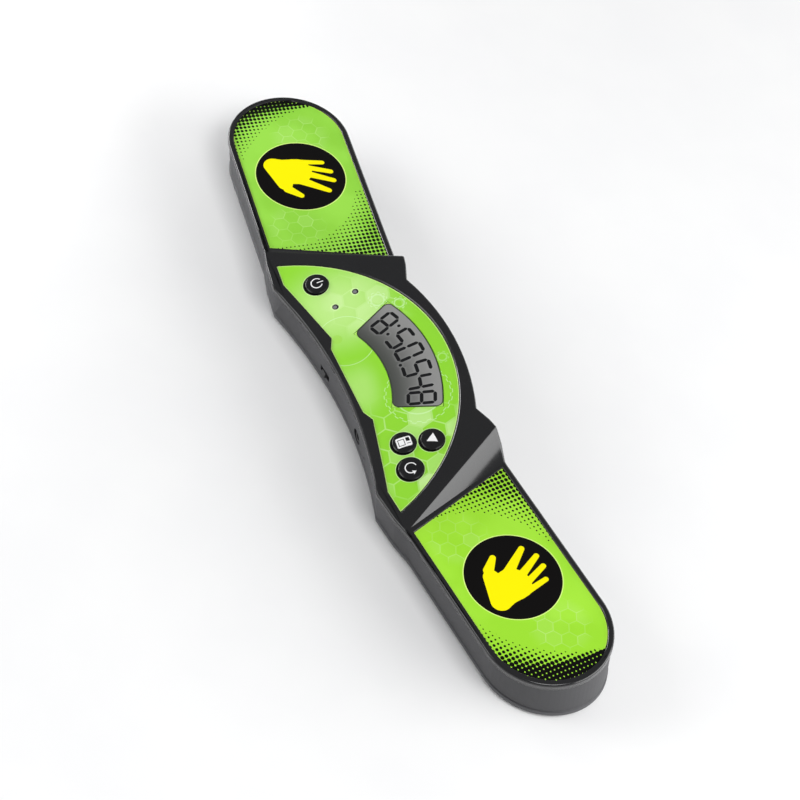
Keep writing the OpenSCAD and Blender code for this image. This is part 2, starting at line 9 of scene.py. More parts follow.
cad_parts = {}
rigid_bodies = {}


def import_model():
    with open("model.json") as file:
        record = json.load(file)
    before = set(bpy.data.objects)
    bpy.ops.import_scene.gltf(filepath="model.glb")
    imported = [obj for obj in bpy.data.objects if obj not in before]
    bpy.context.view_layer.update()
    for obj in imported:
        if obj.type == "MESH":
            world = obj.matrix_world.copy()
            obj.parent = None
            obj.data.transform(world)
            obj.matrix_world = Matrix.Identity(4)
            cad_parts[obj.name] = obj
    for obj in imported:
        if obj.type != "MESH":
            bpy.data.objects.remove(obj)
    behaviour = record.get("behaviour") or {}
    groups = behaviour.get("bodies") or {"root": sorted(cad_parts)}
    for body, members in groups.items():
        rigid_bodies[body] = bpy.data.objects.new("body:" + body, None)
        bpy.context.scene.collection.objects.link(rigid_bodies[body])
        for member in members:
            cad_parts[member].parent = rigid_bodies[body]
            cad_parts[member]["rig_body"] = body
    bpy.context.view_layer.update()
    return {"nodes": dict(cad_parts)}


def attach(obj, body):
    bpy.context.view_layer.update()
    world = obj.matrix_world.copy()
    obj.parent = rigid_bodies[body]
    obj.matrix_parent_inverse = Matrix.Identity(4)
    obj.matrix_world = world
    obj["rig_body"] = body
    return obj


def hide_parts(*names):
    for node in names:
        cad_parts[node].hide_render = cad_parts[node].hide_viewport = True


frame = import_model()
nodes = frame["nodes"]


# ---- camera ----
# A long lens from the user's right, looking down over the right arm, so
# that both hand pads and the centre panel run corner to corner.
MM = 0.001
camera_data = bpy.data.cameras.new("product_camera")
camera_data.sensor_width = 36
camera_data.lens = 111.87
camera_data.clip_start = 0.01
camera = bpy.data.objects.new("product_camera", camera_data)
bpy.context.scene.collection.objects.link(camera)
camera_at = Vector((487.60, -417.98, 690.92)) * MM
camera_right = Vector((0.39511, 0.88102, 0.26023))
camera_up = Vector((-0.75899, 0.15349, 0.63276))
camera_back = Vector((0.51752, -0.44751, 0.72932))
camera_turn = Matrix((camera_right, camera_up, camera_back)).transposed()
camera.matrix_world = Matrix.Translation(camera_at) @ camera_turn.to_4x4()
bpy.context.scene.camera = camera


# ---- floor, room and lamps ----
# A pale sheet of paper in a dim, even room. A key lamp and a low one stand
# near left, one hangs on the right, and two long ones far behind give the
# black shell and its ramps their shine.
class Sock:
    """A shader socket; Python's operators on it add Math nodes."""

    def __init__(self, socket):
        self.socket = socket

    def node(self, kind, settings, inputs, output=0):
        """Adds a node of a kind, and returns one of its outputs."""
        tree = self.socket.id_data
        made = tree.nodes.new("ShaderNode" + kind)
        for name, value in settings.items():
            setattr(made, name, value)
        for name, value in inputs.items():
            socket = made.inputs[name]
            if isinstance(value, Sock):
                tree.links.new(value.socket, socket)
            elif isinstance(value, tuple) and len(socket.default_value) == 4:
                socket.default_value = (*value, 1)
            else:
                socket.default_value = value
        return Sock(made.outputs[output])

    def math(self, operation, *others):
        values = dict(enumerate((self,) + others))
        return self.node("Math", {"operation": operation}, values)

    def __add__(self, other):
        return self.math("ADD", other)

    __radd__ = __add__

    def __sub__(self, other):
        return self.math("SUBTRACT", other)

    def __rsub__(self, other):
        return self.node("Math", {"operation": "SUBTRACT"}, {0: other, 1: self})

    def __mul__(self, other):
        return self.math("MULTIPLY", other)

    __rmul__ = __mul__

    def __truediv__(self, other):
        return self.math("DIVIDE", other)

    def __abs__(self):
        return self.math("ABSOLUTE")

    def least(self, other):
        return self.math("MINIMUM", other)

    def most(self, other):
        return self.math("MAXIMUM", other)

    def over(self, level):
        return self.math("GREATER_THAN", level)

    def root(self):
        return self.math("SQRT")

    def rise(self, low, high):
        """0 below low, 1 above high, smooth between; low may be the higher."""
        inputs = {"Value": self, 1: low, 2: high, 3: 0.0, 4: 1.0}
        settings = {"interpolation_type": "SMOOTHSTEP"}
        if low > high:
            inputs.update({1: high, 2: low, 3: 1.0, 4: 0.0})
        return self.node("MapRange", settings, inputs)

    def tint(self, off, on):
        """Colour off where this is 0, colour on where it is 1."""
        inputs = {0: self, 6: off, 7: on}
        return self.node("Mix", {"data_type": "RGBA"}, inputs, 2)

    def split(self):
        made = self.node("SeparateXYZ", {}, {0: self}).socket.node
        return [Sock(out) for out in made.outputs]


class Finish:
    """One material: its shader, and the place on the object in millimetres."""

    def __init__(self, name, **constants):
        self.material = bpy.data.materials.new(name)
        self.material.use_nodes = True
        self.shader = self.material.node_tree.nodes["Principled BSDF"]
        for key, value in constants.items():
            self.shader.inputs[key.replace("_", " ")].default_value = value
        start = Sock(self.shader.outputs[0])
        coords = start.node("TexCoord", {}, {}, "Object")
        scaled = {0: coords, 1: (1 / MM, 1 / MM, 1 / MM)}
        self.place = start.node("VectorMath", {"operation": "MULTIPLY"}, scaled)
        self.x, self.y, self.z = self.place.split()

    def noise(self, scale, detail=2.0):
        """Soft pattern with scale spots to a millimetre."""
        inputs = {"Vector": self.place, "Scale": scale, "Detail": detail}
        return self.place.node("TexNoise", {}, inputs)

    def feed(self, name, value):
        self.material.node_tree.links.new(value.socket, self.shader.inputs[name])

    def bump(self, height, depth):
        """Bumps up to depth millimetres high."""
        inputs = {"Height": height, "Strength": 1.0, "Distance": depth * MM}
        self.feed("Normal", height.node("Bump", {}, inputs))

    def on(self, piece):
        if piece.data.materials:
            for held in piece.material_slots:
                held.material = self.material
        else:
            piece.data.materials.append(self.material)


def clear_selection():
    if bpy.context.object and bpy.context.object.mode != "OBJECT":
        bpy.ops.object.mode_set(mode="OBJECT")
    bpy.ops.object.select_all(action="DESELECT")


clear_selection()
bpy.ops.mesh.primitive_plane_add(size=6, location=(0, 0, 0))
floor = bpy.context.object
floor.name = "floor"
paper = Finish("pale_paper", Roughness=0.6, Specular_IOR_Level=0.3)
fibre = paper.noise(0.02, 3.0).rise(0.3, 0.7)
paper.feed("Base Color", fibre.tint((0.89, 0.89, 0.895), (0.91, 0.91, 0.91)))
paper.on(floor)

world = bpy.data.worlds.new("room")
world.use_nodes = True
room = world.node_tree.nodes["Background"]
room.inputs["Color"].default_value = (0.86, 0.87, 0.88, 1)
room.inputs["Strength"].default_value = 0.3
bpy.context.scene.world = world
bpy.context.scene.view_settings.view_transform = "Standard"


def lamp(name, at, target, width, height, watts):
    data = bpy.data.lights.new(name, "AREA")
    data.shape = "RECTANGLE"
    data.size = width
    data.size_y = height
    data.energy = watts
    stand = bpy.data.objects.new(name, data)
    bpy.context.scene.collection.objects.link(stand)
    stand.location = at
    aim = Vector(target) - Vector(at)
    stand.rotation_euler = aim.to_track_quat("-Z", "Y").to_euler()


lamp("key_near_left", (-0.35, -1.0, 0.6), (0, 0, 0.02), 0.6, 0.6, 4.5)
lamp("low_near_left", (-0.42, -0.24, 0.07), (-0.12, -0.02, 0.02), 0.3, 0.1, 1.6)
lamp("overhead_right", (0.6, -0.1, 1.0), (0, 0, 0.02), 0.5, 0.5, 5.5)
lamp("strip_far_right", (0.68, 0.74, 0.26), (0.06, 0.0, 0.03), 1.1, 0.8, 13)
lamp("strip_far_left", (-0.40, 0.90, 0.26), (0.0, 0.0, 0.03), 1.3, 0.2, 3)


# ---- top shell ----
# One glossy black moulding: rims round the films, ramps up to the panel
# and raised corners. Its edges are rounded in the tool.
WELD = 0.00001
LOOKS_UP = 0.3
ONE_PLANE = math.radians(0.5)
SHARP_FROM = math.radians(25)
SMOOTH_TO = math.radians(30)


def weigh_edges(piece, widths, facing):
    """Gives the convex edges of the active mesh their share of the rounding."""
    shape = bmesh.from_edit_mesh(piece.data)
    weight = shape.edges.layers.float.new("bevel_weight_edge")
    tree = BVHTree.FromBMesh(shape)
    aside, inward = 0.1 * MM, Vector((0, 0, 0.05 * MM * facing))
    for edge in shape.edges:
        if len(edge.link_faces) != 2 or edge.calc_face_angle_signed(0) < SHARP_FROM:
            continue
        if max(face.normal.z * facing for face in edge.link_faces) < LOOKS_UP:
            continue
        # a ray from just below the edge tells whether another wall stands
        # across from its side face
        side = min(edge.link_faces, key=lambda face: abs(face.normal.z))
        middle = (edge.verts[0].co + edge.verts[1].co) / 2
        start = middle + side.normal * aside - inward
        is_outer = tree.ray_cast(start, side.normal)[0] is None
        edge[weight] = widths[is_outer] / max(widths)
    bmesh.update_edit_mesh(piece.data)


def finer(node, name, widths, facing=1):
    """Copy of a CAD node with joined faces and rounded edges.

    widths is (inner, outer) in millimetres: the rounding of edges that look
    at another wall of the piece, and of those that look away from it; 0 is
    none. facing is 1 for the edges of the top, -1 for those of the underside."""
    source = nodes[node]
    piece = bpy.data.objects.new(name, source.data.copy())
    bpy.context.scene.collection.objects.link(piece)
    clear_selection()
    piece.select_set(True)
    bpy.context.view_layer.objects.active = piece
    bpy.ops.object.mode_set(mode="EDIT")
    bpy.ops.mesh.select_all(action="SELECT")
    bpy.ops.mesh.remove_doubles(threshold=WELD)
    if any(widths):
        bpy.ops.mesh.select_all(action="DESELECT")
        bpy.ops.mesh.select_mode(type="FACE")
        shape = bmesh.from_edit_mesh(piece.data)
        for face in shape.faces:
            face.select_set(face.normal.z * facing > LOOKS_UP)
        bmesh.update_edit_mesh(piece.data)
        bpy.ops.mesh.dissolve_limited(angle_limit=ONE_PLANE)
        weigh_edges(piece, widths, facing)
    bpy.ops.object.mode_set(mode="OBJECT")
    if any(widths):
        rounding = piece.modifiers.new("rounding", "BEVEL")
        rounding.limit_method = "WEIGHT"
        rounding.width = max(widths) * MM
        rounding.segments = 3
        rounding.use_clamp_overlap = False
        bpy.ops.object.modifier_apply(modifier=rounding.name)
    bpy.ops.object.shade_smooth_by_angle(angle=SMOOTH_TO)
    level = piece.modifiers.new("even_shading", "WEIGHTED_NORMAL")
    level.keep_sharp = True
    bpy.ops.object.modifier_apply(modifier=level.name)
    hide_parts(node)
    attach(piece, source["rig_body"])
    return piece


shell = finer("bezel_shell", "top_shell", (0.12, 0.9))
gloss = Finish("gloss_black", Specular_IOR_Level=0.5)
haze = gloss.noise(0.05, 4.0)
specks = gloss.noise(2.5, 1.0)
gloss.feed("Base Color", haze.tint((0.010, 0.010, 0.011), (0.014, 0.014, 0.015)))
gloss.feed("Roughness", 0.11 + haze * 0.08 + specks * 0.03)
gloss.bump(specks, 0.002)
gloss.on(shell)


# ---- side wall ----
# Satin grey band between shell and base, with the slot of the slide
# switch, the socket's round opening and a pin hole in the near side.
wall = finer("side_housing", "side_wall", (0, 0))
satin = Finish("satin_grey", Specular_IOR_Level=0.2)
grain = satin.noise(6.0)
cloud = satin.noise(0.03)
satin.feed("Base Color", cloud.tint((0.050, 0.050, 0.053), (0.064, 0.064, 0.068)))
satin.feed("Roughness", 0.42 + grain * 0.12)
satin.bump(grain, 0.01)
satin.on(wall)


# ---- bottom cover ----
# A lighter tray that closes the casing from below. A thin groove parts it
# from the wall; feet, screws and the battery door sit in its floor.
tray = finer("bottom_cover", "bottom_tray", (0, 0.4), -1)
base = Finish("base_grey", Specular_IOR_Level=0.25)
grain = base.noise(5.0)
base.feed("Base Color", grain.tint((0.07, 0.07, 0.075), (0.085, 0.085, 0.09)))
base.feed("Roughness", 0.42 + grain * 0.12)
base.bump(grain, 0.012)
base.on(tray)


# ---- hand pads ----
# Printed films stuck into the shell's recesses: a green ground with a
# halftone of black dots at two corners, faint hexagons, and a black disc
# with a yellow hand.
PLAN_MIDDLE = 22.841
ARM_SWEEP = math.radians(6.8)
ARM_X = 119.6
ARM_Y = 24.44 - PLAN_MIDDLE
DOT_STEP_U, DOT_STEP_W = 1.83, 1.64
FULL_DOT = 0.58
PAD_HALF = 22.0
PAD_INNER_U, PAD_INNER_SLANT = -58.8, -0.2545
DISC_R = 17.65
HAND_YELLOW = (0.96, 0.86, 0.0)
INK = (0.003, 0.0025, 0.0025)
ROOT_3, HALF_ROOT_3 = 1.7321, 0.866
# start and end of each stroke of the hand, from the disc's middle, the
# radius at either end, and how softly it joins the strokes before it:
# two for the palm, one for the thumb, four for the fingers
HAND = (
    ((2.8, -1.7), (5.4, -7.3), 6.7, 4.65, 0.0),
    ((-3.15, -7.2), (7.05, -9.4), 3.0, 3.8, 1.0),
    ((-10.0, -2.45), (-5.95, -6.65), 1.15, 1.95, 0.5),
    ((-9.05, 9.05), (-2.15, -0.7), 1.1, 2.05, 0.5),
    ((-4.15, 12.3), (1.4, 1.65), 1.05, 1.65, 0.5),
    ((0.55, 12.3), (4.9, 1.55), 1.05, 1.35, 0.5),
    ((5.75, 10.15), (7.95, -1.7), 1.0, 1.35, 0.5),
)


def hypot(a, b):
    return (a * a + b * b).root()


def capsule(x, y, a, b, ra, rb):
    """Distance from (x, y) to a tapered stroke from a to b."""
    dx, dy = b[0] - a[0], b[1] - a[1]
    span = dx * dx + dy * dy
    along = (x - a[0]) * (dx / span) + (y - a[1]) * (dy / span)
    along = along.most(0.0).least(1.0)
    away = hypot(x - a[0] - along * dx, y - a[1] - along * dy)
    return away - (ra + along * (rb - ra))


def honeycomb(x, y, size):
    """Depth inside the sides of the nearest cell, and that cell's number."""
    found = []
    for shift in (0.0, 0.5):
        a, b = x / size + shift, y / (size * ROOT_3) + shift
        column, row = a.math("FLOOR"), b.math("FLOOR")
        ax, ay = abs(a - column - 0.5), abs(b - row - 0.5) * ROOT_3
        reach = ax.most(ax * 0.5 + ay * HALF_ROOT_3)
        found.append((reach, column * 7.0 + row * 13.0 + shift))
    (near, key), (other, other_key) = found
    swap = near.over(other)
    return 0.5 - near.least(other), key + swap * (other_key - key)


def pad_print(name, side, clear, growth, disc_at, green, pale):
    """Print of the pad film on one side, -1 for left and 1 for right.

    clear gives the radii outside which the outer and the inner halftone
    begin, growth how fast the outer one's dots grow."""
    film = Finish(name, Specular_IOR_Level=0.09)
    # u runs out along the arm from the middle of its round end, w across it
    c, s = math.cos(ARM_SWEEP), math.sin(ARM_SWEEP)
    dx = film.x * side - ARM_X
    dy = film.y - ARM_Y
    u = dx * c + dy * s
    w = dy * c - dx * s

    # halftone screen: round dots that grow until they leave only small gaps
    across = (u / DOT_STEP_U).math("FRACT") - 0.5
    down = (w / DOT_STEP_W).math("FRACT") - 0.5
    outer = hypot(u + 30.3, w - 22.1) - clear[0]
    outer_dot = outer / ((15.0 - w) * 0.30).most(0.8) * growth + 0.12
    outer_dot = outer_dot * outer.over(0.0) * (u + 30.0).over(0.0)
    inner = hypot(u + 22.0, w + 12.0) - clear[1]
    inner_dot = (inner * 0.021 + 0.16).least(0.42)
    inner_dot = inner_dot * inner.over(0.0) * (-30.0 - u).over(0.0)
    dot = outer_dot.most(inner_dot).least(FULL_DOT)
    dots = (dot - hypot(across, down)).rise(-0.03, 0.03)

    # faint hexagons, only in two patches
    depth, key = honeycomb(u, w, 5.6)
    tone = key.node("TexWhiteNoise", {"noise_dimensions": "1D"}, {"W": key})
    tone = tone.rise(0.45, 0.9)
    sides = depth.rise(0.045, 0.02) * (tone * 0.6 + 0.4)
    fills = depth.rise(0.02, 0.05) * tone * 0.25
    patch_a = hypot(u - 2.0, w - 5.0).rise(13.0, 8.0)
    patch_b = hypot(u + 45.0, w + 9.0).rise(13.0, 8.0)
    cells = (sides + fills) * patch_a.most(patch_b) * 0.42

    # painted highlight along the film's edge, a pale line standing in for light caught
    # there: straight sides, round outer end and slanted inner end
    reach = hypot(u.most(0.0), w)
    past_inner = (PAD_INNER_U + PAD_INNER_SLANT * w) - u
    inside = PAD_HALF - reach.most(past_inner + PAD_HALF)
    edge = inside.rise(0.28, 0.18)

    shade = film.noise(0.045).rise(0.35, 0.65)
    ground = shade.tint(green, pale)
    ground = cells.tint(ground, (0.62, 0.86, 0.34))
    # painted highlight: pale line along the film's edge
    ground = edge.tint(ground, (0.48, 0.80, 0.10))
    ground = dots.tint(ground, INK)

    # black disc with a pale ring round it, and the hand
    u, w = u - disc_at[0], w - disc_at[1]
    disc = hypot(u, w) - DISC_R
    ground = disc.rise(0.42, 0.32).tint(ground, (0.70, 0.95, 0.25))
    ground = disc.rise(0.06, -0.04).tint(ground, INK)
    hand = None
    for a, b, ra, rb, blend in HAND:
        stroke = capsule(u, w, a, b, ra, rb)
        hand = hand.math("SMOOTH_MIN", stroke, blend) if hand else stroke
    ground = hand.rise(0.06, -0.06).tint(ground, HAND_YELLOW)

    film.feed("Base Color", ground)
    rub = film.noise(1.2, 3.0)
    film.feed("Roughness", 0.42 + rub * 0.10)
    film.bump(rub, 0.003)
    return film


left_green = pad_print(
    "left_pad_print", -1.0, clear=(48.5, 31.5), growth=0.36,
    disc_at=(-18.8, -0.4), green=(0.27, 0.63, 0.055), pale=(0.32, 0.71, 0.075),
)
right_green = pad_print(
    "right_pad_print", 1.0, clear=(47.1, 33.0), growth=0.44,
    disc_at=(-22.3, 0.6), green=(0.33, 0.72, 0.035), pale=(0.38, 0.79, 0.05),
)
left_green.on(nodes["left_pad_film"])
right_green.on(nodes["right_pad_film"])


# ---- touch plates ----
# Thin brass plates glued below the pad films; a tongue on each takes the
# solder.
brass = Finish("sensor_brass", Metallic=1.0)
brushed = brass.noise(1.5, 3.0)
brass.feed("Base Color", brushed.tint((0.60, 0.45, 0.22), (0.70, 0.54, 0.29)))
brass.feed("Roughness", 0.3 + brushed * 0.15)
brass.on(nodes["left_sensor_plate"])
brass.on(nodes["right_sensor_plate"])


# ---- panel film ----
# Printed film of the centre panel, paler round the lamps and towards the
# user. Faint hexagon cells, toothed wheels and a circle lie round the
# display, and thin rings round lamps and buttons.
ARC_MIDDLE = 28.1
ARC_Y = -ARC_MIDDLE - PLAN_MIDDLE
PANEL_TILT = math.radians(21.52)
TILT_STRETCH = 1.075
CAP_SHIFT = 0.22
FILM_ARC_R = 64.0
# plan place and radius of each button's opening, and plan places of the lamps
KEYS = {
    "power": ((-45.0, 4.85), 4.65),
    "mode": ((34.1, 6.6), 4.65),
    "step": ((37.3, 15.8), 4.65),
    "reset": ((45.2, 4.7), 4.92),
}
LAMPS = ((-35.6, 44.0), (-32.4, 35.2))
PALE_RING = (0.66, 0.90, 0.42)
panel = Finish("panel_print", Specular_IOR_Level=0.2)
px, py = panel.x, panel.y - ARC_Y
radius = hypot(px, py)


def about(at, edge, full):
    """1 within full of a point, and 0 beyond edge."""
    return hypot(px - at[0], py - at[1]).rise(edge, full)


def from_point(at):
    """Distance from a point, measured on the tilted film."""
    return hypot(px - at[0], (py - at[1]) * TILT_STRETCH)


def wheel(at, outer, teeth):
    """Outline of a toothed wheel with a wide inner ring."""
    away = from_point(at)
    turned = (py - at[1]).math("ARCTAN2", px - at[0])
    rim = (turned * float(teeth)).math("SINE").rise(-0.3, 0.3) * 0.7 + outer - 0.7
    outline = abs(away - rim).rise(0.22, 0.10)
    return outline.most(abs(away - outer * 0.68).rise(0.36, 0.22) * 0.8)


streak = abs(px - 6.0).rise(16.0, 2.0) * (radius - 36.0).rise(4.0, -4.0)
light = (about((-32.0, 36.0), 26.0, 4.0) * 0.85).most(streak * 0.5)
ground = light.tint((0.27, 0.66, 0.035), (0.52, 0.82, 0.26))

# the cells lie turned by 15 degrees, round the buttons and the lamps
depth, key = honeycomb(px * 0.966 + py * 0.259, py * 0.966 - px * 0.259, 8.2)
tone = key.node("TexWhiteNoise", {"noise_dimensions": "1D"}, {"W": key})
near_keys = about((37.0, 37.0), 27.0, 12.0)
near_lamps = about((-30.0, 47.0), 20.0, 8.0) * 0.6
where = near_keys.most(near_lamps)
cells = depth.rise(0.02, 0.05) * tone.rise(0.35, 0.95) * where
ground = (cells * 0.62).tint(ground, (0.72, 0.93, 0.48))
ground = (depth.rise(0.04, 0.02) * where * 0.35).tint(ground, (0.74, 0.95, 0.50))

# a circle, toothed wheels and a spot
art = abs(from_point((-16.5, 33.0)) - 11.0).rise(0.2, 0.1)
art = art.most(wheel((17.0, 47.0), 12.6, 22))
art = art.most(wheel((-28.2, 49.7), 3.6, 10)).most(wheel((-23.4, 56.1), 2.7, 8))
art = art.most(wheel((6.0, 60.5), 2.4, 8) * 0.6)
ground = (art * 0.42).tint(ground, (0.74, 0.95, 0.62))
spot = from_point((-18.5, 30.6)).rise(2.1, 1.8)
ground = (spot * 0.6).tint(ground, (0.34, 0.68, 0.07))

# painted highlight along the edge of the film, a thin pale line; the near edge turns
# four times
near_y = 27.1
for turn_x, slope in ((15.3, 0.432), (19.7, -0.643), (41.5, -0.014), (50.4, 0.311)):
    near_y = near_y + (abs(px) - turn_x).most(0.0) * slope
from_edge = (FILM_ARC_R - radius).least((py - near_y) * 0.97)
# painted highlight: pale line along the film's edge
ground = (from_edge.rise(0.34, 0.22) * 0.9).tint(ground, (0.62, 0.90, 0.28))

# pale rings round the lamps, black ones with a pale rim round the buttons
for at in LAMPS:
    ground = (from_point(at).rise(1.75, 1.6) * 0.8).tint(ground, PALE_RING)
for at, hole_r in KEYS.values():
    slope_y = (py - at[1] - ARC_MIDDLE) / math.cos(PANEL_TILT) + CAP_SHIFT
    outside = hypot(px - at[0], slope_y) - hole_r
    ground = (outside.rise(0.62, 0.46) * 0.75).tint(ground, PALE_RING)
    ground = outside.rise(0.34, 0.26).tint(ground, INK)
panel.feed("Base Color", ground)
rub = panel.noise(1.2, 3.0)
panel.feed("Roughness", 0.38 + rub * 0.10)
panel.bump(rub, 0.003)
panel.on(nodes["panel_film"])


# ---- display ----
# Clear curved lens with the grey liquid crystal cell behind it. The dark
# bars make a running time; the glass sits on a frame on the board.
DEGREE = math.pi / 180
DIGITS_AT = (-19.8, -9.6, -1.7, 7.1, 14.0, 21.8)
DIGITS = ("abcdefg", "acdfg", "abcdef", "acdfg", "bcfg", "abcdefg")
LEVEL_BARS = ((55.8, "a"), (51.1, "g"), (46.5, "d"))
UPRIGHT_BARS = ((53.45, "f", "b"), (48.8, "e", "c"))
POINTS = ((-14.9, 53.95), (-14.5, 48.9), (3.15, 46.2))
POINT_R = 0.62
BAR_HALF = 0.64
BAR_REACH = 2.25
UPRIGHT_AT = 2.35
FAR_AWAY = 9.0
WINDOW_HALF = 26.1 * math.pi / 180
WINDOW_MIDDLE_R, WINDOW_HALF_R, WINDOW_CORNER = 49.8, 8.8, 2.3
lens = finer("lcd_window", "display_lens", (0, 0.12))
display = Finish(
    "display_grey", Specular_IOR_Level=0.2, Coat_Weight=0.06, Coat_Roughness=0.06
)
px, py = display.x, display.y - ARC_Y
radius = hypot(px, py)
degrees = px.math("ARCTAN2", py) * (180 / math.pi)
past = [degrees.over((a + b) / 2) for a, b in zip(DIGITS_AT, DIGITS_AT[1:])]


def by_digit(values):
    """Picks values[i] over digit i."""
    total = past[0] * (values[1] - values[0]) + values[0]
    for gate, low, high in zip(past[1:], values[1:], values[2:]):
        if high != low:
            total = total + gate * (high - low)
    return total


def lit(bar):
    """1 over the digits that show a bar."""
    return by_digit([1.0 if bar in digit else 0.0 for digit in DIGITS])


# bars with pointed ends: three that lie level in each digit, and two pairs
# that stand; a bar that isn't lit is put far away
local = (degrees - by_digit(DIGITS_AT)) * DEGREE * radius
right = local.over(0.0)
out = abs(local)
strokes = None
for level, bar in LEVEL_BARS:
    off = abs(radius - level)
    part = (off - BAR_HALF).most(out + off - BAR_REACH)
    part = part + (1.0 - lit(bar)) * FAR_AWAY
    strokes = strokes.least(part) if strokes else part
for level, left_bar, right_bar in UPRIGHT_BARS:
    off = abs(out - UPRIGHT_AT)
    flag = lit(left_bar) * (1.0 - right) + lit(right_bar) * right
    part = (off - BAR_HALF).most(abs(radius - level) + off - BAR_REACH)
    strokes = strokes.least(part + (1.0 - flag) * FAR_AWAY)
for at, level in POINTS:
    away = (degrees - at) * DEGREE * radius
    strokes = strokes.least(hypot(away, radius - level) - POINT_R)

# distance from the window's outline with its rounded corners
side_gap = (WINDOW_HALF - abs(degrees) * DEGREE) * radius
from_side = WINDOW_CORNER - side_gap
from_arc = abs(radius - WINDOW_MIDDLE_R) - (WINDOW_HALF_R - WINDOW_CORNER)
rounded = hypot(from_side.most(0.0), from_arc.most(0.0))
rounded = rounded + from_side.most(from_arc).least(0.0) - WINDOW_CORNER

# painted shade: the grey cell is darker towards the window's inner edge and lighter
# towards its outer edge
painted_shade_fade = radius.rise(40.0, 58.0)
sheet = painted_shade_fade.tint((0.062, 0.066, 0.060), (0.265, 0.265, 0.26))
# painted light: a soft pale halo round the bars
sheet = (strokes.rise(1.0, 0.0) * 0.16).tint(sheet, (0.42, 0.42, 0.42))
sheet = strokes.rise(0.07, -0.07).tint(sheet, (0.006, 0.006, 0.007))
sheet = rounded.rise(-0.45, -0.3).tint(sheet, (0.04, 0.05, 0.03))
sheet = rounded.rise(-0.02, 0.06).tint(sheet, (0.42, 0.76, 0.12))
display.feed("Base Color", sheet)
smear = display.noise(0.4, 3.0)
display.feed("Roughness", 0.30 + smear * 0.08)
display.on(lens)

glass = Finish("cell_glass", Coat_Weight=0.5)
glass.feed("Base Color", glass.noise(0.2).tint((0.20, 0.21, 0.20), (0.24, 0.25, 0.24)))
glass.feed("Roughness", 0.12 + glass.noise(0.8) * 0.1)
glass.on(nodes["lcd_glass"])
ivory = Finish("frame_ivory")
ivory.feed("Base Color", ivory.noise(0.8).tint((0.68, 0.68, 0.65), (0.74, 0.74, 0.71)))
ivory.feed("Roughness", 0.45 + ivory.noise(3.0) * 0.15)
ivory.on(nodes["lcd_spacer"])
zebra = Finish("contact_stripes")
bands = (zebra.x * 24.0).math("SINE").over(0.0)
zebra.feed("Base Color", bands.tint((0.5, 0.12, 0.10), (0.05, 0.04, 0.04)))
zebra.feed("Roughness", 0.6 + zebra.noise(2.0) * 0.2)
zebra.on(nodes["lcd_connector"])


# ---- buttons ----
# Four domed gloss black caps with printed white signs: on and off, change
# of display, next and start again. Each cap is loose in its hole.
def cap_print(name, at, draw):
    cap = Finish(name, Specular_IOR_Level=0.35)
    a = cap.x - at[0]
    b = (cap.y - (at[1] - PLAN_MIDDLE)) / math.cos(PANEL_TILT) + CAP_SHIFT
    sign = draw(a, b).rise(0.05, -0.05)
    cap.feed("Base Color", sign.tint((0.008, 0.008, 0.009), (0.86, 0.86, 0.86)))
    cap.feed("Roughness", 0.14 + cap.noise(0.8, 3.0) * 0.10 + sign * 0.2)
    return cap


RING_R, RING_HALF = 2.1, 0.2


def open_ring(a, b, gap_at, gap):
    """Ring with an opening at bearing gap_at, from +X, gap wide in radians."""
    c, s = math.cos(gap_at), math.sin(gap_at)
    along, beside = a * c + b * s, b * c - a * s
    open_side = abs(beside.math("ARCTAN2", along)) - gap / 2
    band = abs(hypot(a, b) - RING_R) - RING_HALF
    return band.most(0.0 - open_side * RING_R)


def power_sign(a, b):
    """An upright bar in a ring that is open at the top."""
    bar = (abs(a) - 0.2).most(abs(b - 1.35) - 1.3)
    return open_ring(a, b, math.pi / 2, 1.15).least(bar)


def mode_sign(a, b):
    """A plate with an outlined field, a dark one and a short line on it."""
    c, s = math.cos(math.radians(6)), math.sin(math.radians(6))
    a, b = b * c + a * s, b * s - a * c
    plate = hypot((abs(a) - 2.2).most(0.0), (abs(b) - 1.45).most(0.0)) - 0.6
    field = abs((abs(a + 1.0) - 1.1).most(abs(b + 0.1) - 1.25)) - 0.14
    dark = (abs(a - 1.55) - 0.72).most(abs(b - 0.75) - 0.8)
    line = (abs(a - 1.6) - 0.8).most(abs(b + 0.95) - 0.13)
    return plate.most(0.0 - field).most(0.0 - dark).most(0.0 - line)


def step_sign(a, b):
    """A solid triangle, turned to the left and away."""
    c, s = -0.885, 0.465
    along, beside = a * c + b * s, b * c - a * s
    sides = abs(beside) * HALF_ROOT_3 + along * 0.5 - 1.2
    return sides.most(0.0 - along - 1.2)


def reset_sign(a, b):
    """A ring with an arrow head at its opening."""
    c, s = math.cos(math.radians(9)), math.sin(math.radians(9))
    along = (b - RING_R * s) * c - (a - RING_R * c) * s
    beside = (a - RING_R * c) * c + (b - RING_R * s) * s
    head = (abs(beside) + along * 0.6 - 0.62).most(0.0 - along - 0.35)
    return open_ring(a, b, math.radians(53.5), 1.58).least(head)


signs = {
    "power": power_sign,
    "mode": mode_sign,
    "step": step_sign,
    "reset": reset_sign,
}
for name, draw in signs.items():
    cap = finer(name + "_button", name + "_cap", (0, 0.3))
    cap_print(name + "_print", KEYS[name][0], draw).on(cap)


# ---- status lamps ----
# Two clear pins, pressed into the shell, bring the light of the lamps on
# the board up to the film. Their edges carry painted shade, their middles painted
# light.
pipe = Finish("light_pin", Coat_Weight=0.4, Coat_Roughness=0.08)
centre = None
for at in LAMPS:
    away = hypot(pipe.x - at[0], (pipe.y - ARC_Y - at[1]) * TILT_STRETCH)
    centre = centre.least(away) if centre else away
